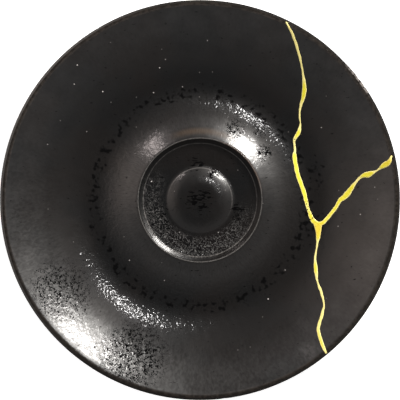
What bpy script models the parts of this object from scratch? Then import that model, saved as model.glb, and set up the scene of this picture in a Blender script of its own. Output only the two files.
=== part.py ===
"""A shallow turned saucer in black glaze, mended with a branching gold seam.

The saucer is one turned body. From the middle outwards it has a low dome, a flat ring
that seats a cup, a raised ring round that, and a wide bowl that sweeps up to a round
lip. Underneath it is hollow inside a foot ring. The gold seam is a thin bead of
lacquer on top of the glaze: three branches that meet at one join.
All sizes are in metres, with Z up and the foot ring standing at height zero.
"""

import math

import bmesh
import bpy
import numpy as np

# Outer sizes of the saucer
RIM_RADIUS = 0.0750
RIM_HEIGHT = 0.0181
LIP_ROUND = 0.0016
BOWL_LEAN = math.radians(26.0)
BODY_WALL = 0.0042

# The foot ring stands under the lowest line of the bowl
FOOT_HEIGHT = 0.0030
FOOT_WIDTH = 0.0040
FOOT_EDGE = 0.0005

# Steps of the upper side, each measured outwards from the one before it
DOME_FLAT_RADIUS = 0.0056
DOME_SHOULDER = 0.0064
DOME_FILLET = 0.0011
SEAT_WIDTH = 0.0056
SEAT_DISH_WIDTH = 0.0028
WELL_WALL_RUN = 0.0015
MOUND_FLANK_WIDTH = 0.0060
MOUND_SWEEP_WIDTH = 0.0123

# Heights, slopes and corner roundings of those steps
CREST_RISE = 0.0053
WELL_DEPTH = 0.0026
WELL_CORNER = 0.0003
CREST_CORNER = 0.00045
SEAT_DISH_RISE = 0.0002
DOME_RISE = 0.0018
DOME_LEAN = math.radians(28.0)
MOUND_LEAN = math.radians(24.0)

# The gold seam: its clearance over the glaze, its thickness, and the width below which
# the bead is thinner too
SEAM_GAP = 0.0003
SEAM_THICKNESS = 0.0004
SEAM_FULL_WIDTH = 0.0012

# The seam's branches from the join outwards, as x, y and width in hundredths of the
# rim's radius. They run anticlockwise round the join.
SEAM_JOIN = (59.4, -12.7)
EAST_BRANCH = (
    (62.3, -10.9, 2.0),
    (67.7, -4.5, 2.0),
    (70.2, -0.4, 2.1),
    (73.9, 3.0, 3.1),
    (78.6, 9.6, 1.5),
    (81.9, 12.3, 2.2),
    (84.4, 12.8, 3.2),
    (88.6, 14.8, 1.1),
    (92.2, 17.5, 3.0),
    (94.3, 18.8, 2.4),
    (95.7, 22.1, 0.6),
)
RIM_BRANCH = (
    (56.7, -10.1, 2.6),
    (54.3, -4.5, 1.7),
    (52.3, 3.7, 2.3),
    (49.1, 12.9, 2.2),
    (47.5, 21.7, 2.3),
    (47.8, 24.9, 1.4),
    (47.4, 30.0, 1.5),
    (49.4, 33.6, 2.2),
    (50.4, 38.0, 1.0),
    (50.1, 44.9, 1.5),
    (52.3, 54.6, 2.3),
    (51.4, 64.4, 1.1),
    (49.3, 73.8, 1.5),
    (46.1, 83.0, 1.2),
    (43.0, 88.9, 0.6),
)
FOOT_BRANCH = (
    (59.5, -16.2, 2.9),
    (58.9, -22.6, 1.3),
    (57.9, -28.7, 1.3),
    (58.1, -34.1, 2.1),
    (58.9, -40.7, 1.2),
    (60.8, -46.4, 1.6),
    (62.1, -52.3, 1.1),
    (61.2, -57.2, 1.7),
    (59.4, -63.3, 1.5),
    (59.4, -66.6, 1.7),
    (61.4, -73.0, 1.8),
    (63.1, -76.6, 0.9),
)
SEAM_STRETCH_PARTS = 2

# The bead's section, as shares of its half width and of its thickness, from foot to foot
BEAD_SECTION = np.array([(-1, 0), (-0.75, 0.8), (0, 1), (0.75, 0.8), (1, 0)])

TURN_STEPS = 72
MERGE_DISTANCE = 0.00001
SHARP_ANGLE = math.radians(40.0)

# Places that follow from the sizes above
DOME_RADIUS = DOME_FLAT_RADIUS + DOME_SHOULDER
SEAT_INNER = DOME_RADIUS + DOME_FILLET
SEAT_OUTER = SEAT_INNER + SEAT_WIDTH
WELL_RADIUS = SEAT_OUTER + SEAT_DISH_WIDTH
CREST_RADIUS = WELL_RADIUS + WELL_WALL_RUN
VALLEY_RADIUS = CREST_RADIUS + MOUND_FLANK_WIDTH + MOUND_SWEEP_WIDTH
VALLEY_HEIGHT = FOOT_HEIGHT + BODY_WALL
CREST_HEIGHT = VALLEY_HEIGHT + CREST_RISE
SEAT_HEIGHT = CREST_HEIGHT - WELL_DEPTH
DOME_HEIGHT = SEAT_HEIGHT + DOME_RISE
CEILING_HEIGHT = SEAT_HEIGHT - BODY_WALL
LIP_CENTRE = np.array([RIM_RADIUS - LIP_ROUND, RIM_HEIGHT - LIP_ROUND])


def sweep(start, end, slope_in, slope_out, parts):
    """Points of a smooth line between two places of the section, without the last.

    The height is the cubic curve that leaves at the first slope and arrives at the
    second one, and the radii are evenly spaced.
    """
    t = np.arange(parts) / parts
    run = end[0] - start[0]
    height = (
        start[1] * (1 + 2 * t) * (1 - t) ** 2
        + end[1] * (3 - 2 * t) * t**2
        + run * (slope_in * t * (1 - t) ** 2 - slope_out * (1 - t) * t**2)
    )
    return np.column_stack([start[0] + run * t, height])


def arc(centre, radius, first, last, parts):
    """Points on a circle between two angles, both ends included."""
    angle = np.linspace(first, last, parts + 1)
    return centre + radius * np.column_stack([np.cos(angle), np.sin(angle)])


def round_corner(before, corner, after, radius, parts):
    """The arc that touches two straight runs of the section which meet at a corner."""
    back, ahead = (np.subtract(end, corner) for end in (before, after))
    back, ahead = back / np.linalg.norm(back), ahead / np.linalg.norm(ahead)
    half = math.acos(back @ ahead) / 2
    middle = (back + ahead) / np.linalg.norm(back + ahead)
    centre = corner + middle * radius / math.sin(half)
    spokes = [corner + side * radius / math.tan(half) - centre for side in (back, ahead)]
    first, last = (math.atan2(spoke[1], spoke[0]) for spoke in spokes)
    turn = (last - first + math.pi) % (2 * math.pi) - math.pi
    return arc(centre, radius, first, first + turn, parts)


def top_line():
    """The glazed upper side of the section, from the axis to the lip's outermost point."""
    mound_slope = -math.tan(MOUND_LEAN)
    dome_slope = -math.tan(DOME_LEAN)
    dome_edge = (DOME_RADIUS, SEAT_HEIGHT - DOME_FILLET * dome_slope / 2)
    seat_edge = (SEAT_OUTER, SEAT_HEIGHT)
    well_foot = (WELL_RADIUS, SEAT_HEIGHT + SEAT_DISH_RISE)
    crest = (CREST_RADIUS, CREST_HEIGHT)
    flank_foot = (CREST_RADIUS + MOUND_FLANK_WIDTH, CREST_HEIGHT + MOUND_FLANK_WIDTH * mound_slope)
    valley = (VALLEY_RADIUS, VALLEY_HEIGHT)
    round_lip = arc(LIP_CENTRE, LIP_ROUND, math.pi / 2 + BOWL_LEAN, 0.0, 4)
    return np.vstack(
        [
            (0.0, DOME_HEIGHT),
            sweep((DOME_FLAT_RADIUS, DOME_HEIGHT), dome_edge, 0.0, dome_slope, 4),
            dome_edge,
            (SEAT_INNER, SEAT_HEIGHT),
            seat_edge,
            round_corner(seat_edge, well_foot, crest, WELL_CORNER, 2),
            round_corner(well_foot, crest, flank_foot, CREST_CORNER, 4),
            sweep(flank_foot, valley, mound_slope, 0.0, 4),
            sweep(valley, round_lip[0], 0.0, math.tan(BOWL_LEAN), 7),
            round_lip,
        ]
    )


def under_line():
    """The underside of the section without its foot ring, from the lip to the axis.

    It keeps the wall's thickness under the bowl's lowest line and under the seat.
    """
    round_lip = arc(LIP_CENTRE, LIP_ROUND, 0.0, BOWL_LEAN - math.pi / 2, 3)
    valley = (VALLEY_RADIUS, FOOT_HEIGHT)
    ceiling = (CREST_RADIUS, CEILING_HEIGHT)
    return np.vstack(
        [
            round_lip[1:],
            sweep(round_lip[-1], valley, math.tan(BOWL_LEAN), 0.0, 6)[1:],
            sweep(valley, ceiling, 0.0, 0.0, 6),
            ceiling,
            (0.0, CEILING_HEIGHT),
        ]
    )


def foot_line(under):
    """The foot ring: down its outer side, across its flat standing face and up again."""
    outer = VALLEY_RADIUS + FOOT_WIDTH / 2
    inner = VALLEY_RADIUS - FOOT_WIDTH / 2
    outer_top, inner_top = np.interp([outer, inner], under[::-1, 0], under[::-1, 1])
    return np.array(
        [
            (outer, outer_top),
            (outer, FOOT_EDGE),
            (outer - FOOT_EDGE, 0.0),
            (inner + FOOT_EDGE, 0.0),
            (inner, FOOT_EDGE),
            (inner, inner_top),
        ]
    )


def saucer_section():
    """The whole section, down from the axis over the lip and back along the underside."""
    under = under_line()
    foot = foot_line(under)
    outside = under[under[:, 0] > foot[0, 0] + FOOT_EDGE]
    inside = under[under[:, 0] < foot[-1, 0] - FOOT_EDGE]
    return np.vstack([top_line(), outside, foot, inside])


def on_glaze(flat, lift):
    """Places at a height above the glaze, square to it, over the given x and y."""
    line = top_line()
    radius = np.hypot(flat[..., 0], flat[..., 1])
    leans = np.arctan2(np.gradient(line[:, 1]), np.gradient(line[:, 0]))
    lean = np.interp(radius, line[:, 0], leans)
    height = np.interp(radius, line[:, 0], line[:, 1]) + lift * np.cos(lean)
    share = 1 - lift * np.sin(lean) / radius
    return np.concatenate([flat * share[..., None], height[..., None]], axis=-1)


def smooth(points, parts):
    """A curve through all the points, whose slope at each is that of its neighbours' chord."""
    ends = np.array(points)
    padded = np.vstack([2 * ends[0] - ends[1], ends, 2 * ends[-1] - ends[-2]])
    place = np.arange((len(ends) - 1) * parts + 1) / parts
    first = np.minimum(place.astype(int), len(ends) - 2)
    t = (place - first)[:, None]
    a, b, c, d = (padded[first + k] for k in range(4))
    bend = 2 * a - 5 * b + 4 * c - d
    twist = 3 * b - a - 3 * c + d
    return (2 * b + (c - a) * t + bend * t**2 + twist * t**3) / 2


def bead_rows(branch):
    """Rows of places across one branch's bead, from the join outwards."""
    line = smooth(branch, SEAM_STRETCH_PARTS) * RIM_RADIUS / 100
    middle, width = line[:, :2], line[:, 2:]
    along = np.gradient(middle, axis=0)
    along /= np.linalg.norm(along, axis=1, keepdims=True)
    left = np.column_stack([-along[:, 1], along[:, 0]])
    thickness = SEAM_THICKNESS * np.minimum(width / SEAM_FULL_WIDTH, 1)
    side = width / 2 * BEAD_SECTION[:, 0]
    flat = middle[:, None] + side[..., None] * left[:, None]
    return on_glaze(flat, SEAM_GAP + thickness * BEAD_SECTION[:, 1])


def link(mesh, *corners):
    """Adds one face with these corners, which run anticlockwise seen from outside."""
    mesh.faces.new(corners)


def add_bead(mesh, rows):
    """Adds one branch's bead, closed at its tip, and returns its corners at the join."""
    corners = [[mesh.verts.new(place) for place in row] for row in rows]
    for near, far in zip(corners, corners[1:]):
        for k in range(len(near)):
            link(mesh, near[k - 1], far[k - 1], far[k], near[k])
    link(mesh, *reversed(corners[-1]))
    return corners[0]


def close_join(mesh, ends, centre):
    """Closes the seam where its branches meet: a low tent on top and one face below."""
    top = mesh.verts.new(centre)
    for end, following in zip(ends, ends[1:] + ends[:1]):
        link(mesh, top, end[1], end[2])
        link(mesh, top, end[2], end[3])
        link(mesh, top, end[3], following[1])
        link(mesh, end[4], following[0], following[1], end[3])
    link(mesh, *reversed([foot for end in ends for foot in (end[0], end[4])]))


def material(name, colour, roughness, metallic):
    """A plain finish with one colour."""
    finish = bpy.data.materials.new(name)
    finish.use_nodes = True
    shader = finish.node_tree.nodes["Principled BSDF"]
    shader.inputs["Base Color"].default_value = (*colour, 1.0)
    shader.inputs["Roughness"].default_value = roughness
    shader.inputs["Metallic"].default_value = metallic
    return finish


def place_object(name, mesh, finish, collection):
    """Puts a mesh into the collection as an object with its finish."""
    mesh.materials.append(finish)
    piece = bpy.data.objects.new(name, mesh)
    collection.objects.link(piece)
    return piece


def make_saucer(collection):
    """The turned body: its section swept once round the axis."""
    section = saucer_section()
    mesh = bpy.data.meshes.new("saucer")
    places = [(radius, 0.0, height) for radius, height in section]
    mesh.from_pydata(places, [(k, k + 1) for k in range(len(places) - 1)], [])
    finish = material("black_glaze", (0.012, 0.011, 0.011), 0.35, 0.0)
    saucer = place_object("saucer", mesh, finish, collection)
    turn = saucer.modifiers.new("turn", "SCREW")
    turn.axis = "Z"
    turn.steps = TURN_STEPS
    turn.render_steps = TURN_STEPS
    turn.use_merge_vertices = True
    turn.merge_threshold = MERGE_DISTANCE
    turn.use_smooth_shade = True


def make_seam(collection):
    """The gold bead over the glaze, with its branches joined into one body."""
    branches = (EAST_BRANCH, RIM_BRANCH, FOOT_BRANCH)
    join = np.array([SEAM_JOIN]) * RIM_RADIUS / 100
    centre = on_glaze(join, np.array([SEAM_GAP + SEAM_THICKNESS]))[0]
    shape = bmesh.new()
    ends = [add_bead(shape, bead_rows(branch)) for branch in branches]
    close_join(shape, ends, centre)
    mesh = bpy.data.meshes.new("gold_seam")
    shape.to_mesh(mesh)
    shape.free()
    mesh.shade_smooth()
    mesh.set_sharp_from_angle(angle=SHARP_ANGLE)
    place_object("gold_seam", mesh, material("gold_lacquer", (0.90, 0.68, 0.22), 0.3, 1.0), collection)


def main():
    """Clears the scene and builds both pieces."""
    for old in list(bpy.data.objects):
        bpy.data.objects.remove(old)
    collection = bpy.data.collections.new("saucer")
    bpy.context.scene.collection.children.link(collection)
    make_saucer(collection)
    make_seam(collection)


main()
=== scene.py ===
import math

import bpy
import numpy as np
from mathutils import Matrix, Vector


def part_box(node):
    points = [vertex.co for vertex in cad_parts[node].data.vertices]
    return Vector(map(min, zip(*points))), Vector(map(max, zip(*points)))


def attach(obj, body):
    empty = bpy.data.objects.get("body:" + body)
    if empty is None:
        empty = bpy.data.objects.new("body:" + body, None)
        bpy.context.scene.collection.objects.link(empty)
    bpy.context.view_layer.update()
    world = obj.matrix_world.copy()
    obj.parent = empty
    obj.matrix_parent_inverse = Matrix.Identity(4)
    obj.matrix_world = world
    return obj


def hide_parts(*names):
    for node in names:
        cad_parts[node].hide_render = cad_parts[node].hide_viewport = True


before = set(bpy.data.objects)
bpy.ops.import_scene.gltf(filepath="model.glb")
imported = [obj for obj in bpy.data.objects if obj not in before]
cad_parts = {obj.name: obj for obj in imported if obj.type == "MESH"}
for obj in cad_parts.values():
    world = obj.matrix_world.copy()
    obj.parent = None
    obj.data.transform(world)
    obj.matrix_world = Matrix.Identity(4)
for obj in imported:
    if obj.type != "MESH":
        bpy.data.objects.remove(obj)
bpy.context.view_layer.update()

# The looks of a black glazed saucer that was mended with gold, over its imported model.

# The saucer's body is one piece of dark stoneware, turned on a wheel and dipped in a
# black glaze that dries to a satin skin full of fine wriggly crystals. It was fired
# standing on its foot ring, so the ring's wiped face is bare clay.

saucer_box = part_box("saucer")
RIM_RADIUS = saucer_box[1][0]
RIM_HEIGHT = saucer_box[1][2]
LIP_ROUND = 0.0016
BOWL_LEAN = math.radians(26.0)
BODY_WALL = 0.0042
FOOT_HEIGHT = 0.0030
FOOT_WIDTH = 0.0040
FOOT_EDGE = 0.0005
FOOT_FILLET = 0.0006
FOOT_CLEAR = 1.5 * FOOT_FILLET

DOME_FLAT_RADIUS = 0.0056
DOME_SHOULDER = 0.0064
DOME_FILLET = 0.0011
SEAT_WIDTH = 0.0056
SEAT_DISH_WIDTH = 0.0028
WELL_WALL_RUN = 0.0015
WELL_CORNER = 0.00035
MOUND_FLANK_WIDTH = 0.0060
MOUND_SWEEP_WIDTH = 0.0123
CREST_RISE = 0.0053
CREST_CORNER = 0.00045
WALL_PARTS = 30
WELL_DEPTH = 0.0026
SEAT_DISH_RISE = 0.0002
DOME_RISE = 0.0018
DOME_LEAN = math.radians(28.0)
FLANK_LEAN = math.radians(24.0)
MOUND_LEAN = math.radians(22.2)
CREST_LEAN = math.radians(26.0)
BROW_LEAN = math.radians(4.0)
BROW_ROUND = 0.0017

DOME_RADIUS = DOME_FLAT_RADIUS + DOME_SHOULDER
SEAT_INNER = DOME_RADIUS + DOME_FILLET
SEAT_OUTER = SEAT_INNER + SEAT_WIDTH
WELL_RADIUS = SEAT_OUTER + SEAT_DISH_WIDTH
CREST_RADIUS = WELL_RADIUS + WELL_WALL_RUN
VALLEY_RADIUS = CREST_RADIUS + MOUND_FLANK_WIDTH + MOUND_SWEEP_WIDTH
VALLEY_HEIGHT = FOOT_HEIGHT + BODY_WALL
CREST_HEIGHT = VALLEY_HEIGHT + CREST_RISE
SEAT_HEIGHT = CREST_HEIGHT - WELL_DEPTH
DOME_HEIGHT = SEAT_HEIGHT + DOME_RISE
CEILING_HEIGHT = SEAT_HEIGHT - BODY_WALL
LIP_CENTRE = np.array([RIM_RADIUS - LIP_ROUND, RIM_HEIGHT - LIP_ROUND])

TURN_STEPS = 480


def sweep(start, end, slope_in, slope_out, parts):
    """The cubic curve between two places that leaves and arrives at the given slopes.

    With t from 0 to 1 along the run, the height is the start's times (1+2t)(1-t)^2, plus
    the end's times (3-2t)t^2, plus the run times (slope_in t(1-t)^2 - slope_out t^2(1-t)).
    The last point is left out.
    """
    t = np.arange(parts) / parts
    run = end[0] - start[0]
    height = (
        start[1] * (1 + 2 * t) * (1 - t) ** 2
        + end[1] * (3 - 2 * t) * t**2
        + run * (slope_in * t * (1 - t) ** 2 - slope_out * (1 - t) * t**2)
    )
    return np.column_stack([start[0] + run * t, height])


def arc(centre, radius, first, last, parts):
    """Points on a circle: the centre plus the radius times (cos a, sin a), a from first to last."""
    a = np.linspace(first, last, parts + 1)
    return np.asarray(centre) + radius * np.column_stack([np.cos(a), np.sin(a)])


def round_corner(before, corner, after, radius, parts):
    """The arc that touches two straight runs which meet at a corner.

    Its centre lies on the line that halves the angle, at the radius over the sine of the
    half angle from the corner.
    """
    back, ahead = (np.subtract(end, corner) for end in (before, after))
    back, ahead = back / np.linalg.norm(back), ahead / np.linalg.norm(ahead)
    half = math.acos(back @ ahead) / 2
    middle = (back + ahead) / np.linalg.norm(back + ahead)
    centre = corner + middle * radius / math.sin(half)
    spokes = [corner + side * radius / math.tan(half) - centre for side in (back, ahead)]
    first, last = (math.atan2(spoke[1], spoke[0]) for spoke in spokes)
    last = first + (last - first + math.pi) % (2 * math.pi) - math.pi
    return arc(centre, radius, first, last, parts)


def top_line():
    """The glazed upper side of the section, chained sweep by sweep from the axis to the lip.

    The last number of each call is the number of parts that its stretch is cut into.
    """
    leans = (DOME_LEAN, MOUND_LEAN, CREST_LEAN)
    dome_slope, mound_slope, crest_slope = (-math.tan(lean) for lean in leans)
    dish_slope = 2 * SEAT_DISH_RISE / SEAT_DISH_WIDTH
    dome_edge = (DOME_RADIUS, SEAT_HEIGHT - DOME_FILLET * dome_slope / 2)
    seat = (SEAT_INNER, SEAT_HEIGHT)
    well_foot = (WELL_RADIUS, SEAT_HEIGHT + SEAT_DISH_RISE)
    crest = (CREST_RADIUS, CREST_HEIGHT)
    flank_radius = CREST_RADIUS + MOUND_FLANK_WIDTH
    flank_foot = (flank_radius, CREST_HEIGHT - MOUND_FLANK_WIDTH * math.tan(FLANK_LEAN))
    brow_end = (flank_radius, CREST_HEIGHT - MOUND_FLANK_WIDTH * math.tan(BROW_LEAN))
    valley = (VALLEY_RADIUS, VALLEY_HEIGHT)
    foot_arc = round_corner((SEAT_OUTER, SEAT_HEIGHT), well_foot, crest, WELL_CORNER, 5)
    crest_arc = round_corner(well_foot, crest, brow_end, CREST_CORNER, 8)
    upright = math.pi / 2
    brow_centre = crest_arc[-1] - BROW_ROUND * np.array([math.sin(BROW_LEAN), math.cos(BROW_LEAN)])
    brow = arc(brow_centre, BROW_ROUND, upright - BROW_LEAN, upright - CREST_LEAN, 6)
    lip = arc(LIP_CENTRE, LIP_ROUND, upright + BOWL_LEAN, 0.0, 14)
    return np.vstack(
        [
            sweep((0.0, DOME_HEIGHT), (DOME_FLAT_RADIUS, DOME_HEIGHT), 0.0, 0.0, 5),
            sweep((DOME_FLAT_RADIUS, DOME_HEIGHT), dome_edge, 0.0, dome_slope, 10),
            sweep(dome_edge, seat, dome_slope, 0.0, 3),
            sweep(seat, (SEAT_OUTER, SEAT_HEIGHT), 0.0, 0.0, 5),
            sweep((SEAT_OUTER, SEAT_HEIGHT), well_foot, 0.0, dish_slope, 4),
            foot_arc,
            np.linspace(foot_arc[-1], crest_arc[0], WALL_PARTS)[1:-1],
            crest_arc[:-1],
            brow[:-1],
            sweep(brow[-1], flank_foot, crest_slope, mound_slope, 8),
            sweep(flank_foot, valley, mound_slope, 0.0, 16),
            sweep(valley, lip[0], 0.0, math.tan(BOWL_LEAN), 28),
            lip,
        ]
    )


def under_line():
    """The underside from the lip to the axis, with its foot ring let into it.

    The foot ring's sides meet the body in round fillets, and its standing face lies at zero.
    The body's own points are left out under the ring and its fillets. The last number of
    each call is the number of parts, as above.
    """
    lip = arc(LIP_CENTRE, LIP_ROUND, 0.0, BOWL_LEAN - math.pi / 2, 8)
    valley = (VALLEY_RADIUS, FOOT_HEIGHT)
    ceiling = (CREST_RADIUS, CEILING_HEIGHT)
    outside = sweep(lip[-1], valley, math.tan(BOWL_LEAN), 0.0, 15)
    inside = sweep(valley, ceiling, 0.0, 0.0, 10)
    outer = VALLEY_RADIUS + FOOT_WIDTH / 2
    inner = VALLEY_RADIUS - FOOT_WIDTH / 2
    outer_top = np.interp(outer + FOOT_FILLET, outside[::-1, 0], outside[::-1, 1])
    inner_top = np.interp(inner - FOOT_FILLET, inside[::-1, 0], inside[::-1, 1])
    quarter = math.pi / 2
    foot = [
        arc((outer + FOOT_FILLET, outer_top - FOOT_FILLET), FOOT_FILLET, quarter, 2 * quarter, 4),
        arc((outer - FOOT_EDGE, FOOT_EDGE), FOOT_EDGE, 0.0, -quarter, 4),
        arc((inner + FOOT_EDGE, FOOT_EDGE), FOOT_EDGE, -quarter, -2 * quarter, 4),
        arc((inner - FOOT_FILLET, inner_top - FOOT_FILLET), FOOT_FILLET, 0.0, quarter, 4),
    ]
    return np.vstack(
        [
            lip[1:-1],
            outside[outside[:, 0] > outer + FOOT_CLEAR],
            *foot,
            inside[inside[:, 0] < inner - FOOT_CLEAR],
            sweep(ceiling, (0.0, CEILING_HEIGHT), 0.0, 0.0, 5),
            (0.0, CEILING_HEIGHT),
        ]
    )


def ripple(x, y, seed, count, longest, shortest, height):
    """A gentle uneven swell: the sum of plane waves in scattered directions.

    Each wave is the cosine of its phase plus its wave vector times the place, and the
    wavelengths are spread evenly between the longest and the shortest.
    """
    chance = np.random.default_rng(seed)
    length = np.linspace(longest, shortest, count)
    turn = chance.uniform(0, 2 * np.pi, count)
    phase = chance.uniform(0, 2 * np.pi, count)
    along = x[..., None] * np.cos(turn) + y[..., None] * np.sin(turn)
    waves = np.cos(2 * np.pi * along / length + phase)
    return height * waves.sum(axis=-1) / math.sqrt(count)


def bell(x):
    """A smooth bump of height one: e to the power of minus x squared."""
    return np.exp(-(x**2))


def angle_between(first, second):
    """The first angle less the second, brought between minus and plus half a turn."""
    return (first - second + np.pi) % (2 * np.pi) - np.pi


def turned(section, steps):
    """The section swept round the axis, as a grid of places: rings by steps by x, y, z."""
    turn = 2 * np.pi * np.arange(steps) / steps
    radius, height = section[:, :1], section[:, 1:]
    level = np.broadcast_to(height, (len(section), steps))
    return np.stack([radius * np.cos(turn), radius * np.sin(turn), level], axis=-1)


def outward(section):
    """Unit normals of the section, on the air side: its direction of travel turned left."""
    along = np.gradient(section, axis=0)
    along /= np.linalg.norm(along, axis=1, keepdims=True)
    return np.column_stack([-along[:, 1], along[:, 0]])


def lathe_mesh(name, places):
    """A closed mesh from a grid of places whose first and last rings lie on the axis.

    The two end rings become one point each, closed by triangles, and quads join each of
    the other rings to the next one.
    """
    rings, steps = places.shape[:2]
    points = np.vstack([places[0, :1], places[1:-1].reshape(-1, 3), places[-1, :1]])
    here = np.arange(steps)
    after = np.roll(here, -1)
    ring = 1 + steps * np.arange(rings - 3)[:, None]
    quads = np.stack([ring + here, ring + steps + here, ring + steps + after, ring + after], axis=-1)
    first = np.column_stack([np.zeros(steps, int), 1 + here, 1 + after])
    base = 1 + steps * (rings - 3)
    last = np.column_stack([np.full(steps, len(points) - 1), base + after, base + here])
    mesh = bpy.data.meshes.new(name)
    mesh.from_pydata(points, [], [*first.tolist(), *quads.reshape(-1, 4).tolist(), *last.tolist()])
    mesh.shade_smooth()
    return mesh


# Nicks along the outer edge of the lip: bearing in degrees, half length and depth
NICKS = (
    (45.0, 0.0060, 0.00012),
    (37.7, 0.0005, 0.00030),
    (34.5, 0.0004, 0.00022),
    (121.0, 0.0005, 0.00012),
    (277.0, 0.0007, 0.00012),
)
# Turning rings on the well's wall, deepest on one side, with a smooth share at either end
WALL_RINGS = 3
WALL_RING_DEPTH = 0.00010
WALL_RING_BEARING = math.radians(228.0)
WALL_RING_SPREAD = math.radians(58.0)
WALL_RING_MARGIN = 0.12
SWELL_HEIGHT = 0.000012
SWELL_LONGEST = 0.0090
SWELL_SHORTEST = 0.0030
SWELL_WAVES = 24
SWELL_SEED = 5

section = np.vstack([top_line(), under_line()])
normal = outward(section)
grid = turned(section, TURN_STEPS)
bearing = np.arctan2(grid[..., 1], grid[..., 0])
swell = ripple(
    grid[..., 0], grid[..., 1], SWELL_SEED, SWELL_WAVES, SWELL_LONGEST, SWELL_SHORTEST, SWELL_HEIGHT
)
# The swell fades towards the axis and the lip, and the standing face stays flat
calm = np.clip(section[:, :1] / DOME_FLAT_RADIUS, 0, 1) * (section[:, 1:] > FOOT_EDGE)
calm *= np.clip((RIM_RADIUS - section[:, :1]) / LIP_ROUND, 0, 1)
lift = swell * calm
edge = bell((RIM_RADIUS - section[:, :1]) / LIP_ROUND)
for nick_bearing, half_length, depth in NICKS:
    apart = angle_between(bearing, math.radians(nick_bearing))
    lift = lift - depth * edge * bell(apart * RIM_RADIUS / half_length)
climb = (section[:, :1] - WELL_RADIUS) / WELL_WALL_RUN
climb = np.clip(climb, WALL_RING_MARGIN, 1 - WALL_RING_MARGIN) * (section[:, 1:] > SEAT_HEIGHT)
ring_phase = 2 * np.pi * WALL_RINGS * (climb - WALL_RING_MARGIN) / (1 - 2 * WALL_RING_MARGIN)
rings = WALL_RING_DEPTH * np.sin(ring_phase) * (climb > 0)
lift = lift + rings * bell(angle_between(bearing, WALL_RING_BEARING) / WALL_RING_SPREAD)
grid[..., 0] += lift * normal[:, :1] * np.cos(bearing)
grid[..., 1] += lift * normal[:, :1] * np.sin(bearing)
grid[..., 2] += lift * normal[:, 1:]

body = bpy.data.objects.new("saucer_body", lathe_mesh("saucer_body", grid))
bpy.context.scene.collection.objects.link(body)


def put(tree, kind, feeds=(), **settings):
    """Adds a shader node with these settings, and feeds its sockets with values or links."""
    node = tree.nodes.new("ShaderNode" + kind)
    for name, value in settings.items():
        setattr(node, name, value)
    for socket, value in dict(feeds).items():
        if isinstance(value, bpy.types.NodeSocket):
            tree.links.new(value, node.inputs[socket])
        else:
            node.inputs[socket].default_value = value
    return node


def math_node(tree, operation, first, second=0.0, third=0.0):
    """One sum, product or comparison of two or three values."""
    return put(tree, "Math", {0: first, 1: second, 2: third}, operation=operation).outputs[0]


def remap(tree, value, low, high, to_low, to_high):
    """The value moved from one span to another and held within it, with soft ends to the move."""
    feeds = {"Value": value, "From Min": low, "From Max": high, "To Min": to_low, "To Max": to_high}
    return put(tree, "MapRange", feeds, interpolation_type="SMOOTHSTEP").outputs["Result"]


def mix_colour(tree, share, first, second):
    """The first colour where the share is 0, and the second where it is 1."""
    node = put(tree, "Mix", data_type="RGBA")
    for socket, value in ((0, share), (6, first), (7, second)):
        if isinstance(value, bpy.types.NodeSocket):
            tree.links.new(value, node.inputs[socket])
        else:
            node.inputs[socket].default_value = value
    return node.outputs[2]


def new_group(name, numbers, outputs):
    """An empty node group with a place, these number inputs and these outputs."""
    group = bpy.data.node_groups.new(name, "ShaderNodeTree")
    group.interface.new_socket("Place", in_out="INPUT", socket_type="NodeSocketVector")
    for label in numbers:
        group.interface.new_socket(label, in_out="INPUT", socket_type="NodeSocketFloat")
    for label in outputs:
        group.interface.new_socket(label, in_out="OUTPUT", socket_type="NodeSocketFloat")
    entry = group.nodes.new("NodeGroupInput")
    leave = group.nodes.new("NodeGroupOutput")
    return group, entry.outputs, leave.inputs


def grain_group():
    """Fine grain of a skin: a level from 0 to 1, from a warped noise with finer octaves."""
    group, given, wanted = new_group("skin_grain", ("Scale", "Detail", "Warp"), ("Level",))
    feeds = {"Vector": given["Place"], "Scale": given["Scale"]}
    feeds |= {"Detail": given["Detail"], "Distortion": given["Warp"]}
    group.links.new(put(group, "TexNoise", feeds).outputs["Fac"], wanted["Level"])
    return group


skin_grain = grain_group()


def grain(tree, place, scale, detail, warp=0.0):
    """The shared grain, placed in a material with its own values."""
    feeds = {"Place": place, "Scale": scale, "Detail": detail, "Warp": warp}
    return put(tree, "Group", feeds, node_tree=skin_grain).outputs["Level"]


def noise(tree, place, scale, detail, warp=0.0):
    """Plain warped noise in a material, from 0 to 1, for its relief and its masks."""
    feeds = {"Vector": place, "Scale": scale, "Detail": detail, "Distortion": warp}
    return put(tree, "TexNoise", feeds).outputs["Fac"]


def new_material(name):
    """An empty material with its Principled shader, and its node tree."""
    finish = bpy.data.materials.new(name)
    finish.use_nodes = True
    return finish, finish.node_tree, finish.node_tree.nodes["Principled BSDF"]


def plan_place(tree):
    """The place on the object, and the same place let down to the level of the table."""
    place = put(tree, "TexCoord").outputs["Object"]
    return place, put(tree, "VectorMath", {0: place, 1: (1.0, 1.0, 0.0)}, operation="MULTIPLY").outputs[0]


def off_from(tree, value, middle):
    """How far a value lies from the middle one, to either side."""
    return math_node(tree, "ABSOLUTE", math_node(tree, "SUBTRACT", value, middle))


def facing_way(tree, bearing, way):
    """How far a bearing points one way: the cosine of the angle between them."""
    way = (*way, 0.0)
    return put(tree, "VectorMath", {0: bearing, 1: way}, operation="DOT_PRODUCT").outputs["Value"]


def patches(tree, flat, spots, inner, mark=0.0, beyond=0.0):
    """The highest mark among round patches, each given by its centre, reach and share.

    A patch holds its full share out to the inner part of its reach, and falls from there
    to the level beyond it.
    """
    for centre, reach, share in spots:
        feeds = {0: flat, 1: (*centre, 0.0)}
        away = put(tree, "VectorMath", feeds, operation="DISTANCE").outputs["Value"]
        mark = math_node(tree, "MAXIMUM", mark, remap(tree, away, inner * reach, reach, share, beyond))
    return mark


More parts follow.
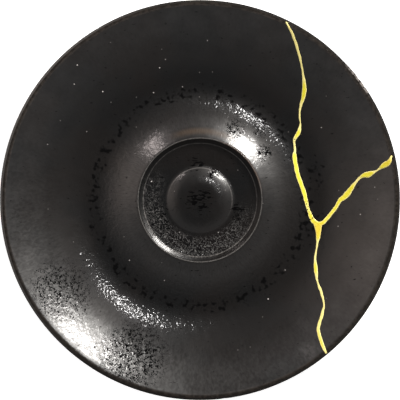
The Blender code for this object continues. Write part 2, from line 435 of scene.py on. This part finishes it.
def by_radius(tree, radius, stops):
    """A level read off a list of places and levels, the places as shares of the rim's radius."""
    ramp = put(tree, "ValToRGB", {0: math_node(tree, "DIVIDE", radius, RIM_RADIUS)})
    elements = ramp.color_ramp.elements
    for stop, level in stops:
        elements.new(stop).color = (level, level, level, 1.0)
    elements.remove(elements[0])
    elements.remove(elements[-1])
    return ramp.outputs["Color"]


# The milky haze under the shine, strong on the slopes and weak where the glaze lies flat:
# place as a share of the rim's radius, and level
HAZE = (
    (0.06, 0.24), (0.10, 0.37), (0.16, 0.58), (0.18, 0.18), (0.285, 0.18), (0.29, 0.9), (0.302, 0.9),
    (0.308, 0.25), (0.327, 0.82), (0.38, 0.82), (0.44, 0.36), (0.50, 0.31), (0.56, 0.25), (0.67, 0.25),
    (0.77, 0.31), (0.85, 0.58), (0.92, 0.72),
)
# The clear gloss over it: place and level
GLOSS = (
    (0.16, 0.5), (0.18, 0.9), (0.28, 1.0), (0.302, 1.0), (0.308, 0.5), (0.39, 0.5), (0.44, 1.0),
    (0.68, 1.0), (0.82, 0.6),
)

# The grain of the crystals: grains on the mound and in the well, strokes on the bowl
GRAIN_SCALE = 820.0
STROKE_SCALE = 1200.0
STROKE_BEARING_REACH = 0.055
STROKE_STRETCH = 0.55
STROKES_BETWEEN = (VALLEY_RADIUS + 0.008, VALLEY_RADIUS + 0.016)
MOUND_STREAKS_START = (CREST_RADIUS, CREST_RADIUS + 0.002)
MOUND_STREAKS_END = (0.036, 0.040)
GRAIN_DEPTH = 0.00011
GRAINY_WAY = (-0.55, -0.835)
# Where the relief is low: round the middle of the well's wall, and out on the bowl
WALL_MIDDLE = (WELL_RADIUS + CREST_RADIUS) / 2
RELIEF_OFF_WALL = (0.0009, 0.0016)
RELIEF_MOUND_END = (0.037, 0.040)
RELIEF_BOWL = (0.047, 0.056)

# How fine the other noises are, and how the dashes are drawn out
TONE_SCALE = 45.0
GLINT_SCALE = 700.0
PIT_SCALE = 1300.0
PIT_BREAK_SCALE = 700.0
POOL_SCALE = 520.0
DASH_SCALE = 1150.0
DASH_STRETCH = (0.45, 1.3, 1.0)
DUST_SCALE = 210.0
LINE_BREAK_SCALE = 900.0
LIP_SPOT_SCALE = 800.0
WIPED_SCALE = 260.0
CLOUD_SCALE = 120.0

# The colours of the glaze and the clay, in pairs where one spot differs from the next
BLACK_COOL = (0.0034, 0.0035, 0.0036, 1.0)
BLACK_WARM = (0.0050, 0.0040, 0.0035, 1.0)
BLACK_POOL = (0.0015, 0.0015, 0.0017, 1.0)
BLACK_PLAIN = (0.0042, 0.0038, 0.0036, 1.0)
# Grey of the glints painted on the well's seat
GLINT_GREY = (0.115, 0.112, 0.108, 1.0)
DUST_GREY = (0.10, 0.095, 0.09, 1.0)
SPECK_WHITE = (0.62, 0.58, 0.56, 1.0)
LIP_BROWN = ((0.015, 0.0130, 0.0115, 1.0), (0.026, 0.0220, 0.0190, 1.0))
# The lip's outermost edge: darker, and paler towards one side
LIP_EDGE_SHADES = ((0.021, 0.0195, 0.018, 1.0), (0.085, 0.080, 0.076, 1.0))
LIP_RUBBED = (0.20, 0.182, 0.170, 1.0)
BARE_CLAY = ((0.085, 0.062, 0.045, 1.0), (0.15, 0.115, 0.085, 1.0))

# Brown tints painted beside the mound's highlight, as a painted warm sheen: bearing, distance from the
# axis, reach and colour
WARM_SHEEN_TINTS = (
    ((0.12, 0.993), 0.0260, 0.0019, (0.040, 0.025, 0.014, 1.0)),
    ((0.77, 0.64), 0.0233, 0.0005, (0.075, 0.038, 0.020, 1.0)),
)
# Where the glints painted on the well's seat are thickest, and the bearing towards which the lip's
# outermost edge is paler
GLINT_WAY = (-0.35, -0.94)
GLINT_RING = SEAT_OUTER - 0.0006
GLINT_REACH = (0.0014, 0.0052)
LIP_PALE_WAY = (-0.95, 0.20)

# Patches where the glaze is full of small dark pits: centre, reach and density
PITTED = (
    ((-0.0525, -0.0345), 0.0165, 0.9),
    ((-0.0250, -0.0588), 0.0180, 1.05),
    ((0.0235, 0.0270), 0.0055, 0.75),
    ((0.0130, 0.0268), 0.0050, 1.1),
    ((0.0240, 0.0178), 0.0045, 1.1),
    ((0.0138, -0.0068), 0.0022, 0.9),
    ((0.0050, 0.0098), 0.0030, 1.5),
)
# Patches where black pools of glaze lie further out than the valley: centre, reach and density
POOLED = (
    ((0.0412, 0.0100), 0.0095, 0.135),
    ((0.0425, -0.0090), 0.0090, 0.135),
)
POOL_RING = VALLEY_RADIUS - 0.001
POOL_REACH = (0.0010, 0.0048)
POOL_RING_SHARE = 0.125
POOL_FREE = -0.12
# Patches of dark dashes that run across the well: centre, reach and density
DASHED = (
    ((-0.0003, -0.0003), 0.0078, 1.4),
    ((-0.0014, 0.0134), 0.0050, 1.1),
    ((-0.0150, -0.0080), 0.0075, 0.8),
    ((0.0143, -0.0034), 0.0048, 0.95),
)
# Milky places near the lip: centre, reach and added share of haze
MILKY = (
    ((0.0404, -0.0569), 0.0060, 1.6),
    ((0.0381, -0.0460), 0.0050, 0.8),
)
# Where the lip is chipped and rubbed pale: centre, reach and share
CHIPPED = (((0.0595, 0.0450), 0.0085, 1.0),)
# Where the lip's brown, its outermost edge and its matt band start and are full, and its lower side
LIP_BETWEEN = (RIM_RADIUS - 0.0025, RIM_RADIUS - 0.0019)
LIP_EDGE_BETWEEN = (RIM_RADIUS - 0.0011, RIM_RADIUS - 0.0006)
LIP_MATT_BETWEEN = (RIM_RADIUS - 0.0022, RIM_RADIUS - 0.0012)
LIP_HEIGHT_BETWEEN = (RIM_HEIGHT - 0.0026, RIM_HEIGHT - 0.0016)

# Whitish specks in the glaze: place in millimetres from the axis, and strength
MILLIMETRE = 0.001
SPECK_REACH = 0.00030
SPECKS = (
    (-46.0, 50.6, 1.0), (-18.2, 7.0, 1.0), (25.7, -37.3, 0.9), (-36.6, 40.8, 0.9), (-47.2, 43.5, 0.7),
    (-17.5, 40.5, 0.7), (-15.2, 49.8, 0.7), (60.3, -5.4, 0.6), (32.1, -26.4, 0.5), (45.7, 27.3, 0.5),
    (6.9, -12.2, 0.4), (-13.0, 52.9, 0.4), (2.8, 60.0, 0.4), (-6.6, 42.7, 0.3), (65.6, 4.8, 0.4),
    (52.0, -9.9, 0.3), (-26.6, -22.7, 0.5), (-13.4, -30.3, 0.4), (-7.7, -12.2, 0.3), (-57.3, 20.9, 0.3),
    (-42.7, 25.8, 0.3), (44.7, 58.3, 0.5), (45.0, 57.9, 0.5),
)

# Thin pale lines painted as highlights on the crest, in the well's corner and round the dome, with some
# paler glaze on the crest: distance from the axis, shade, brightest bearing, share on the far side and
# share in the breaks
EDGE_SHINE_LINES = (
    (CREST_RADIUS + 0.00030, 0.11, (-0.35, -0.94), 0.7, 0.7),
    (WELL_RADIUS - 0.00010, 0.14, (-0.35, -0.94), 0.25, 0.3),
    (DOME_RADIUS + 0.00010, 0.075, (0.30, 0.95), 0.0, 0.6),
)


def glaze_material():
    """Black glaze over clay: a matt ground under a glossy skin of wriggly crystals.

    The matt ground gives the wide soft glow, and the grained skin over it the sparkle.
    """
    finish, tree, shader = new_material("black_glaze")
    place, flat = plan_place(tree)
    radius = put(tree, "VectorMath", {0: flat}, operation="LENGTH").outputs["Value"]
    bearing = put(tree, "VectorMath", {0: flat}, operation="NORMALIZE").outputs[0]
    height = put(tree, "SeparateXYZ", {0: place}).outputs["Z"]
    facing = put(tree, "SeparateXYZ", {0: put(tree, "NewGeometry").outputs["Normal"]}).outputs["Z"]
    upper = remap(tree, facing, -0.2, 0.0, 0.0, 1.0)
    haze = by_radius(tree, radius, HAZE)
    clear = by_radius(tree, radius, GLOSS)

    # Grains on the mound and in the well, and strokes that run outwards on the bowl
    grains = noise(tree, place, GRAIN_SCALE, 1.0, 0.4)
    feeds = {0: bearing, "Scale": STROKE_BEARING_REACH}
    round_place = put(tree, "VectorMath", feeds, operation="SCALE").outputs[0]
    outwards = put(tree, "CombineXYZ", {2: math_node(tree, "MULTIPLY", radius, STROKE_STRETCH)}).outputs[0]
    stroke_place = put(tree, "VectorMath", {0: round_place, 1: outwards}, operation="ADD").outputs[0]
    strokes = noise(tree, stroke_place, STROKE_SCALE, 1.0, 0.5)
    on_bowl = remap(tree, radius, *STROKES_BETWEEN, 0.0, 1.0)
    skin = put(tree, "Mix", {0: on_bowl, 2: grains, 3: strokes}).outputs[0]

    # The black ground, cool and warm in clouds, with brown tints painted in two places beside the mound's
    # highlight, as a painted warm sheen
    tone = remap(tree, grain(tree, place, TONE_SCALE, 2.0), 0.35, 0.65, 0.0, 1.0)
    colour = mix_colour(tree, tone, BLACK_COOL, BLACK_WARM)
    for way, ring, reach, brown in WARM_SHEEN_TINTS:
        near = remap(tree, facing_way(tree, bearing, way), 0.80, 0.985, 0.0, 1.0)
        band = remap(tree, off_from(tree, radius, ring), 0.0, reach, 1.0, 0.0)
        colour = mix_colour(tree, math_node(tree, "MULTIPLY", near, band), colour, brown)

    # Pale grains painted in the lower half of the well's seat, on the side that faces the lights: painted
    # glints
    seat_glint = remap(tree, facing_way(tree, bearing, GLINT_WAY), -0.5, 0.9, 0.0, 1.0)
    off_seat = off_from(tree, radius, GLINT_RING)
    seat_glint = math_node(tree, "MULTIPLY", seat_glint, remap(tree, off_seat, *GLINT_REACH, 1.0, 0.0))
    off_line = off_from(tree, noise(tree, place, GLINT_SCALE, 0.0, 1.6), 0.5)
    glints = math_node(tree, "MULTIPLY", seat_glint, remap(tree, off_line, 0.01, 0.075, 1.0, 0.0))
    colour = mix_colour(tree, glints, colour, GLINT_GREY)

    # Pits, which are short winding lines where the noise crosses its middle
    zone = patches(tree, flat, PITTED, 0.3, mark=math_node(tree, "MULTIPLY", seat_glint, 0.45))
    off_line = off_from(tree, noise(tree, place, PIT_SCALE, 0.0, 1.2), 0.5)
    breaks = remap(tree, noise(tree, place, PIT_BREAK_SCALE, 1.0), 0.32, 0.55, 0.0, 0.13)
    width = math_node(tree, "MULTIPLY", zone, breaks)
    pits = remap(tree, math_node(tree, "SUBTRACT", off_line, width), -0.03, 0.0, 1.0, 0.0)

    # Pools of black glaze that ran down to the lowest ring, and dashes in the well
    off_ring = off_from(tree, radius, POOL_RING)
    pooled = remap(tree, off_ring, *POOL_REACH, POOL_RING_SHARE, POOL_FREE)
    pooled = patches(tree, flat, POOLED, 0.3, mark=pooled, beyond=POOL_FREE)
    pool_depth = math_node(tree, "ADD", noise(tree, place, POOL_SCALE, 1.5, 0.1), pooled)
    pools = remap(tree, pool_depth, 0.57, 0.78, 0.0, 0.85)
    drawn = put(tree, "VectorMath", {0: place, 1: DASH_STRETCH}, operation="MULTIPLY").outputs[0]
    edge = math_node(tree, "MULTIPLY_ADD", patches(tree, flat, DASHED, 0.2), -0.20, 0.72)
    dash_depth = math_node(tree, "SUBTRACT", noise(tree, drawn, DASH_SCALE, 1.0, 0.4), edge)
    dashes = remap(tree, dash_depth, 0.0, 0.07, 0.0, 0.9)
    blots = math_node(tree, "MAXIMUM", math_node(tree, "MAXIMUM", pits, pools), dashes)
    blots = math_node(tree, "MULTIPLY", blots, upper)
    colour = mix_colour(tree, blots, colour, BLACK_POOL)

    # Fine dust scattered over the whole glaze, and the larger specks
    dots = put(tree, "TexVoronoi", {"Vector": flat, "Scale": DUST_SCALE}, voronoi_dimensions="2D")
    chosen = put(tree, "SeparateColor", {0: dots.outputs["Color"]}).outputs["Red"]
    small = remap(tree, dots.outputs["Distance"], 0.02, 0.06, 1.0, 0.0)
    dust = math_node(tree, "MULTIPLY", small, math_node(tree, "GREATER_THAN", chosen, 0.95))
    colour = mix_colour(tree, dust, colour, DUST_GREY)
    spots = [((x * MILLIMETRE, y * MILLIMETRE), SPECK_REACH, share) for x, y, share in SPECKS]
    colour = mix_colour(tree, patches(tree, flat, spots, 0.4), colour, SPECK_WHITE)

    # Thin pale lines painted as highlights on the crest, in the well's corner and round the dome,
    # brightest on the lit side, with some paler glaze on the crest
    broken = grain(tree, place, LINE_BREAK_SCALE, 1.0)
    for ring, shade, way, faint, whole in EDGE_SHINE_LINES:
        lit_side = remap(tree, facing_way(tree, bearing, way), -0.4, 0.7, faint, 1.0)
        pale = math_node(tree, "MULTIPLY", lit_side, remap(tree, broken, 0.40, 0.60, whole, 1.0))
        line = remap(tree, off_from(tree, radius, ring), 0.00009, 0.00026, 1.0, 0.0)
        share = math_node(tree, "MULTIPLY", pale, line)
        colour = mix_colour(tree, share, colour, (shade, 0.95 * shade, 0.90 * shade, 1.0))

    # The lip, where the glaze is thin, brown and matt, its outermost edge paler towards one side, and
    # rubbed by the chips
    outermost = remap(tree, radius, *LIP_BETWEEN, 0.0, 1.0)
    topmost = remap(tree, height, *LIP_HEIGHT_BETWEEN, 0.0, 1.0)
    lip = math_node(tree, "MULTIPLY", outermost, topmost)
    spotted = grain(tree, place, LIP_SPOT_SCALE, 1.0)
    brown = mix_colour(tree, remap(tree, spotted, 0.4, 0.6, 0.0, 1.0), *LIP_BROWN)
    colour = mix_colour(tree, lip, colour, brown)
    last = math_node(tree, "MULTIPLY", lip, remap(tree, radius, *LIP_EDGE_BETWEEN, 0.0, 1.0))
    pale_side = remap(tree, facing_way(tree, bearing, LIP_PALE_WAY), 0.3, 0.95, 0.0, 1.0)
    colour = mix_colour(tree, last, colour, mix_colour(tree, pale_side, *LIP_EDGE_SHADES))
    rubbed = math_node(tree, "MULTIPLY", last, patches(tree, flat, CHIPPED, 0.47))
    rubbed = math_node(tree, "MULTIPLY", rubbed, remap(tree, spotted, 0.42, 0.52, 0.0, 1.0))
    colour = mix_colour(tree, rubbed, colour, LIP_RUBBED)

    # The plain glaze of the underside, and the bare clay of the foot ring's face
    colour = mix_colour(tree, upper, BLACK_PLAIN, colour)
    wiped = noise(tree, place, WIPED_SCALE, 2.0)
    bare = math_node(tree, "LESS_THAN", height, math_node(tree, "MULTIPLY_ADD", wiped, 0.0005, 0.00035))
    colour = mix_colour(tree, bare, colour, mix_colour(tree, wiped, *BARE_CLAY))

    # What is matt: the lip, the blots and the bare clay
    rim_matt = remap(tree, radius, *LIP_MATT_BETWEEN, 0.6, 1.0)
    matt = math_node(tree, "MAXIMUM", math_node(tree, "MULTIPLY", lip, rim_matt), blots)
    matt = math_node(tree, "MAXIMUM", matt, bare)
    gloss = math_node(tree, "SUBTRACT", 1.0, matt)
    rough = remap(tree, matt, 0.0, 1.0, 0.315, 0.85)
    rough = math_node(tree, "MAXIMUM", rough, remap(tree, upper, 0.0, 1.0, 0.5, 0.0))
    coat = math_node(tree, "MULTIPLY", math_node(tree, "MULTIPLY", gloss, clear), upper)

    # The haze is streaked by the strokes and clouded on the bowl, and weak on the underside
    grainy_side = facing_way(tree, bearing, GRAINY_WAY)
    streaked = math_node(tree, "MULTIPLY", on_bowl, remap(tree, grainy_side, 0.0, 0.8, 0.3, 1.0))
    past_crest = remap(tree, radius, *MOUND_STREAKS_START, 0.0, 1.0)
    on_mound = math_node(tree, "MULTIPLY", past_crest, remap(tree, radius, *MOUND_STREAKS_END, 0.65, 0.0))
    streaked = math_node(tree, "MAXIMUM", streaked, on_mound)
    streaks = math_node(tree, "MULTIPLY", math_node(tree, "SUBTRACT", strokes, 0.5), streaked)
    cloud = math_node(tree, "SUBTRACT", noise(tree, place, CLOUD_SCALE, 3.0), 0.5)
    clouds = math_node(tree, "MULTIPLY", cloud, on_bowl)
    streaks = math_node(tree, "ADD", math_node(tree, "MULTIPLY_ADD", streaks, 1.3, 0.96), clouds)
    milk = math_node(tree, "MULTIPLY", patches(tree, flat, MILKY, 0.0), strokes)
    streaks = math_node(tree, "ADD", streaks, milk)
    level = math_node(tree, "MULTIPLY", gloss, math_node(tree, "MULTIPLY", haze, streaks))
    level = math_node(tree, "MULTIPLY", level, math_node(tree, "MULTIPLY_ADD", upper, 0.75, 0.25))

    # The relief of the shine is low on the well's wall and the outer bowl, and high in the pits
    strength = remap(tree, off_from(tree, radius, WALL_MIDDLE), *RELIEF_OFF_WALL, 0.22, 1.0)
    strength = math_node(tree, "MINIMUM", strength, remap(tree, radius, *RELIEF_BOWL, 1.0, 0.45))
    inside = remap(tree, radius, *RELIEF_MOUND_END, 1.0, 0.0)
    grainy = math_node(tree, "MAXIMUM", remap(tree, grainy_side, 0.62, 0.95, 0.35, 1.0), inside)
    strength = math_node(tree, "MULTIPLY", strength, grainy)
    strength = math_node(tree, "MAXIMUM", strength, math_node(tree, "MULTIPLY", zone, 0.9))
    bump = put(tree, "Bump", {"Height": skin, "Distance": GRAIN_DEPTH, "Strength": strength})

    tree.links.new(colour, shader.inputs["Base Color"])
    tree.links.new(rough, shader.inputs["Roughness"])
    tree.links.new(level, shader.inputs["Specular IOR Level"])
    tree.links.new(coat, shader.inputs["Coat Weight"])
    tree.links.new(bump.outputs["Normal"], shader.inputs["Coat Normal"])
    shader.inputs["Coat Roughness"].default_value = 0.11
    return finish


body.data.materials.append(glaze_material())
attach(body, "root")
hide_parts("saucer")


# The gold seam is lacquer dusted with gold powder, laid by brush along a crack line over
# the glaze. It stands up as a low bead with three branches that meet at one join, painted
# paler towards its edges and narrow places as a highlight on its rounded sides.

SEAM_SINK = 0.00004
SEAM_THICKNESS = 0.00030
SEAM_FULL_WIDTH = 0.0014
SEAM_DEEP_WIDTH = 0.0016
SEAM_WAVER = 0.00006
SEAM_WAVER_WAVES = 8
SEAM_WAVER_LONGEST = 0.0040
SEAM_WAVER_SHORTEST = 0.0012
SEAM_STRETCH_PARTS = 14
SEAM_ACROSS = 17

# The branches from the join outwards, as x, y and width in hundredths of the rim's radius
HUNDREDTH = RIM_RADIUS / 100
SEAM_JOIN = (59.3, -12.4)
EAST_BRANCH = (
    (62.3, -10.9, 1.88),
    (67.7, -4.5, 1.88),
    (70.2, -0.4, 1.97),
    (73.9, 3.0, 2.91),
    (78.6, 9.6, 1.22),
    (81.9, 12.3, 2.07),
    (84.4, 12.8, 3.01),
    (88.6, 14.8, 0.85),
    (92.2, 17.5, 2.82),
    (94.3, 18.8, 2.26),
    (95.7, 22.1, 0.56),
)
RIM_BRANCH = (
    (56.7, -10.1, 2.44),
    (54.3, -4.5, 1.60),
    (52.3, 3.7, 2.16),
    (49.1, 12.9, 2.07),
    (47.5, 21.7, 2.16),
    (47.8, 24.9, 1.13),
    (47.4, 30.0, 1.32),
    (49.4, 33.6, 2.07),
    (50.4, 38.0, 0.75),
    (50.1, 44.9, 0.85),
    (52.3, 54.6, 2.16),
    (51.4, 64.4, 0.85),
    (49.3, 73.8, 1.22),
    (46.1, 83.0, 1.13),
    (43.0, 88.9, 0.56),
)
FOOT_BRANCH = (
    (59.5, -16.2, 2.73),
    (58.9, -22.6, 1.03),
    (57.9, -28.7, 0.94),
    (58.1, -34.1, 1.97),
    (58.9, -40.7, 0.85),
    (60.8, -46.4, 1.32),
    (62.1, -52.3, 0.75),
    (61.2, -57.2, 1.41),
    (59.4, -63.3, 1.41),
    (59.4, -66.6, 1.60),
    (61.4, -73.0, 1.69),
    (63.1, -76.6, 0.85),
)

surface = top_line()
surface_lean = np.arctan2(np.gradient(surface[:, 1]), np.gradient(surface[:, 0]))


def on_glaze(flat, lift):
    """Places at a height above the glaze, square to it, over the given x and y.

    The height and lean of the glaze are read off the section at the place's radius, and
    the lift is split by the lean's cosine upwards and its sine towards the axis.
    """
    radius = np.hypot(flat[..., 0], flat[..., 1])
    lean = np.interp(radius, surface[:, 0], surface_lean)
    height = np.interp(radius, surface[:, 0], surface[:, 1]) + lift * np.cos(lean)
    share = 1 - lift * np.sin(lean) / radius
    return np.concatenate([flat * share[..., None], height[..., None]], axis=-1)


def smooth(points, parts):
    """A cubic through all the points, whose slope at each is that of its neighbours' chord."""
    ends = np.array(points)
    padded = np.vstack([2 * ends[0] - ends[1], ends, 2 * ends[-1] - ends[-2]])
    place = np.arange((len(ends) - 1) * parts + 1) / parts
    first = np.minimum(place.astype(int), len(ends) - 2)
    t = (place - first)[:, None]
    a, b, c, d = (padded[first + k] for k in range(4))
    bend = 2 * a - 5 * b + 4 * c - d
    twist = 3 * b - a - 3 * c + d
    return (2 * b + (c - a) * t + bend * t**2 + twist * t**3) / 2


def bead_places(branch, seed):
    """A grid of places over one branch, rows along it by points across it, and the share of its core.

    Across the bead the height is the thickness times the fourth root of one minus the
    side share to the fourth, a flat crown with round edges. The width wavers slightly.
    The share of the core is one in the middle of the widest places and nought at the edges; towards the
    edges the gold is painted paler, as a painted highlight.
    """
    line = smooth(branch, SEAM_STRETCH_PARTS) * HUNDREDTH
    middle, width = line[:, :2], line[:, 2]
    along = np.gradient(middle, axis=0)
    along /= np.linalg.norm(along, axis=1, keepdims=True)
    left = np.column_stack([-along[:, 1], along[:, 0]])
    side = np.sin(np.linspace(-np.pi / 2, np.pi / 2, SEAM_ACROSS))
    waves = (SEAM_WAVER_WAVES, SEAM_WAVER_LONGEST, SEAM_WAVER_SHORTEST, SEAM_WAVER)
    left_waver, right_waver = (ripple(*middle.T, seed + k, *waves)[:, None] for k in (0, 1))
    half = width[:, None] / 2 + np.where(side > 0, left_waver, right_waver)
    full = np.minimum(width / SEAM_FULL_WIDTH, 1)[:, None]
    deep = np.minimum(width / SEAM_DEEP_WIDTH, 1)[:, None]
    crown = (1 - side**4) ** 0.25
    flat = middle[:, None] + (half * side)[..., None] * left[:, None]
    return on_glaze(flat, SEAM_THICKNESS * full * crown - SEAM_SINK), deep * (1 - side**4)


def ribbon_mesh(name, places, bead_core):
    """A closed strip from a grid of places: quads on top, and one long face row below."""
    rows, across = places.shape[:2]
    index = np.arange(rows * across).reshape(rows, across)
    top = np.stack([index[:-1, :-1], index[1:, :-1], index[1:, 1:], index[:-1, 1:]], axis=-1)
    under = np.stack([index[:-1, -1], index[1:, -1], index[1:, 0], index[:-1, 0]], axis=-1)
    faces = [*top.reshape(-1, 4).tolist(), *under.tolist()]
    faces += [index[0].tolist(), index[-1, ::-1].tolist()]
    mesh = bpy.data.meshes.new(name)
    mesh.from_pydata(places.reshape(-1, 3), [], faces)
    mesh.shade_smooth()
    mesh.attributes.new("bead_core", "FLOAT", "POINT").data.foreach_set("value", bead_core.ravel())
    return mesh


# Where the gold is pitted, and where it is tinted orange: centre, reach and share
GOLD_PITS = (((0.0355, 0.0213), 0.0032, 1.0), ((0.0412, -0.0048), 0.0070, 1.0))
GOLD_TINTS = (((0.0700, 0.0147), 0.0036, 0.25), ((0.0443, -0.0110), 0.0042, 0.50))

GOLD_GRAIN_SCALE = 1500.0
GOLD_GRAIN_DEPTH = 0.00004
GOLD_DEEP = ((0.84, 0.73, 0.030, 1.0), (0.92, 0.82, 0.060, 1.0))
# Pale gold painted on the bead's edges and narrow places, as a highlight
GOLD_EDGE_SHEEN = (1.0, 0.88, 0.33, 1.0)
GOLD_ORANGE = (0.84, 0.54, 0.05, 1.0)
GOLD_PIT_BROWN = (0.05, 0.03, 0.012, 1.0)


def gold_material():
    """Gold powder on lacquer, a little metallic and grained, with fine pits.

    It is deep yellow in the middle of the wide places, and painted paler towards the bead's edges and in
    its narrow places, a painted highlight on its rounded sides.
    """
    finish, tree, shader = new_material("gold_lacquer")
    place, flat = plan_place(tree)
    powder = grain(tree, place, GOLD_GRAIN_SCALE, 2.0, 0.3)
    deep = mix_colour(tree, remap(tree, powder, 0.4, 0.6, 0.0, 1.0), *GOLD_DEEP)
    bead_core = put(tree, "Attribute", attribute_name="bead_core").outputs["Fac"]
    colour = mix_colour(tree, remap(tree, bead_core, 0.55, 0.92, 1.0, 0.0), deep, GOLD_EDGE_SHEEN)
    colour = mix_colour(tree, patches(tree, flat, GOLD_TINTS, 0.3), colour, GOLD_ORANGE)
    edge = math_node(tree, "MULTIPLY_ADD", patches(tree, flat, GOLD_PITS, 0.3), -0.22, 0.80)
    pit_depth = math_node(tree, "SUBTRACT", noise(tree, place, GOLD_GRAIN_SCALE, 1.0, 0.5), edge)
    colour = mix_colour(tree, remap(tree, pit_depth, 0.0, 0.04, 0.0, 1.0), colour, GOLD_PIT_BROWN)
    bump = put(tree, "Bump", {"Height": powder, "Distance": GOLD_GRAIN_DEPTH, "Strength": 1.0})
    tree.links.new(colour, shader.inputs["Base Color"])
    tree.links.new(bump.outputs["Normal"], shader.inputs["Normal"])
    shader.inputs["Metallic"].default_value = 0.15
    shader.inputs["Roughness"].default_value = 0.42
    return finish


# Each branch with its width at the join, in hundredths too, and the seed of its waver
BRANCHES = (("east", EAST_BRANCH, 2.6, 11), ("rim", RIM_BRANCH, 2.6, 21), ("foot", FOOT_BRANCH, 4.4, 31))

gold = gold_material()
for branch_name, branch, join_width, seed in BRANCHES:
    joined = ((*SEAM_JOIN, join_width), *branch)
    name = "gold_seam_" + branch_name
    seam = bpy.data.objects.new(name, ribbon_mesh(name, *bead_places(joined, seed)))
    bpy.context.scene.collection.objects.link(seam)
    seam.data.materials.append(gold)
    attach(seam, "root")
    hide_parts("gold_seam")


# The stage is a wide white table top, which isn't part of the object. It glows a little by
# itself, so that it stays near white right up to the saucer.

FLOOR_HALF_WIDTH = 3.0
FLOOR_CORNERS = ((-1, -1), (1, -1), (1, 1), (-1, 1))

floor_mesh = bpy.data.meshes.new("floor")
corners = [(x * FLOOR_HALF_WIDTH, y * FLOOR_HALF_WIDTH, 0.0) for x, y in FLOOR_CORNERS]
floor_mesh.from_pydata(corners, [], [(0, 1, 2, 3)])
floor = bpy.data.objects.new("floor", floor_mesh)
bpy.context.scene.collection.objects.link(floor)
floor_finish, _, floor_shader = new_material("pale_floor")
floor_shader.inputs["Base Color"].default_value = (0.82, 0.82, 0.82, 1.0)
floor_shader.inputs["Roughness"].default_value = 0.8
floor_shader.inputs["Emission Color"].default_value = (1.0, 1.0, 1.0, 1.0)
floor_shader.inputs["Emission Strength"].default_value = 0.8
floor_mesh.materials.append(floor_finish)


# The studio has one large soft key from the upper right of the photo, a small bright lamp
# nearer the camera on the same side, a weak warm fill from the upper left, a soft light
# overhead, and pale walls under a dark ceiling.

# Each light's bearing and zenith angle in degrees, distance, size, radiance and colour
LIGHTS = (
    ("key", 50.0, 54.5, 1.4, (0.33, 0.40), 50.0, (1.0, 0.970, 0.93)),
    ("lamp", 56.0, 21.6, 1.4, (0.09, 0.09), 72.0, (1.0, 0.98, 0.97)),
    ("fill", 130.0, 54.0, 0.22, (0.022, 0.042), 12.0, (1.0, 0.88, 0.85)),
    ("overhead", 0.0, 0.0, 1.4, (0.8, 0.8), 2.6, (1.0, 1.0, 1.0)),
)


def soft_light(name, bearing, zenith, distance, size, radiance, colour):
    """An area light of this radiance, aimed at the saucer from a bearing and a zenith angle."""
    lamp = bpy.data.lights.new(name, "AREA")
    lamp.shape = "RECTANGLE"
    lamp.size, lamp.size_y = size
    lamp.energy = radiance * math.pi * size[0] * size[1]
    lamp.color = colour
    holder = bpy.data.objects.new(name, lamp)
    bpy.context.scene.collection.objects.link(holder)
    turn, tilt = math.radians(bearing), math.radians(zenith)
    out = distance * math.sin(tilt)
    holder.location = (out * math.cos(turn), out * math.sin(turn), distance * math.cos(tilt))
    holder.rotation_euler = (0.0, tilt, turn)
    holder.visible_camera = False
    return holder


# The overhead light, the last one, isn't mirrored in the glaze
holders = [soft_light(*light) for light in LIGHTS]
holders[-1].visible_glossy = False

# Warm glows on the walls, one on the left and one behind the key: their direction and colour
GLOW_SHARPNESS = 14.0
WALL_GLOWS = (
    ((-0.74, 0.20, 0.64), (1.00, 0.86, 0.79, 1.0)),
    ((0.53, 0.55, 0.65), (1.05, 0.96, 0.90, 1.0)),
)
HORIZON_GREY = (0.10, 0.10, 0.10, 1.0)
WALL_PALE = (0.325, 0.313, 0.308, 1.0)
CEILING_DARK = (0.074, 0.074, 0.076, 1.0)
BACKDROP = (0.80, 0.80, 0.80, 1.0)

world = bpy.data.worlds.new("studio")
bpy.context.scene.world = world
world.use_nodes = True
sky = world.node_tree
toward = put(sky, "TexCoord").outputs["Generated"]
rise = put(sky, "SeparateXYZ", {0: toward}).outputs["Z"]


def between(low, high):
    """The share of the way that the view's rise has gone from the low to the high one."""
    feeds = {"Value": rise, "From Min": low, "From Max": high}
    return put(sky, "MapRange", feeds).outputs["Result"]


def sky_glow(way, sharpness):
    """A soft spot on the wall: the cosine from its middle, to the power of the sharpness."""
    near = put(sky, "VectorMath", {0: toward, 1: way}, operation="DOT_PRODUCT").outputs["Value"]
    return math_node(sky, "POWER", math_node(sky, "MAXIMUM", near, 0.0), sharpness)


shade = mix_colour(sky, between(0.35, 0.62), HORIZON_GREY, WALL_PALE)
shade = mix_colour(sky, between(0.70, 0.985), shade, CEILING_DARK)
for way, glow in WALL_GLOWS:
    shade = mix_colour(sky, sky_glow(way, GLOW_SHARPNESS), shade, glow)
seen = put(sky, "LightPath").outputs["Is Camera Ray"]
tint = mix_colour(sky, seen, shade, BACKDROP)
sky.links.new(tint, sky.nodes["Background"].inputs["Color"])


# The camera looks straight down from a tall stand, with the photo's top towards +Y.

CAMERA_DISTANCE = 1.6
FRAME_WIDTH = 0.1498
SENSOR_MILLIMETRES = 36.0

camera = bpy.data.cameras.new("camera")
camera.sensor_width = SENSOR_MILLIMETRES
camera.lens = SENSOR_MILLIMETRES * CAMERA_DISTANCE / FRAME_WIDTH
camera_holder = bpy.data.objects.new("camera", camera)
bpy.context.scene.collection.objects.link(camera_holder)
camera_holder.location = (0.0, 0.0, RIM_HEIGHT + CAMERA_DISTANCE)
bpy.context.scene.camera = camera_holder
bpy.context.scene.view_settings.view_transform = "Standard"
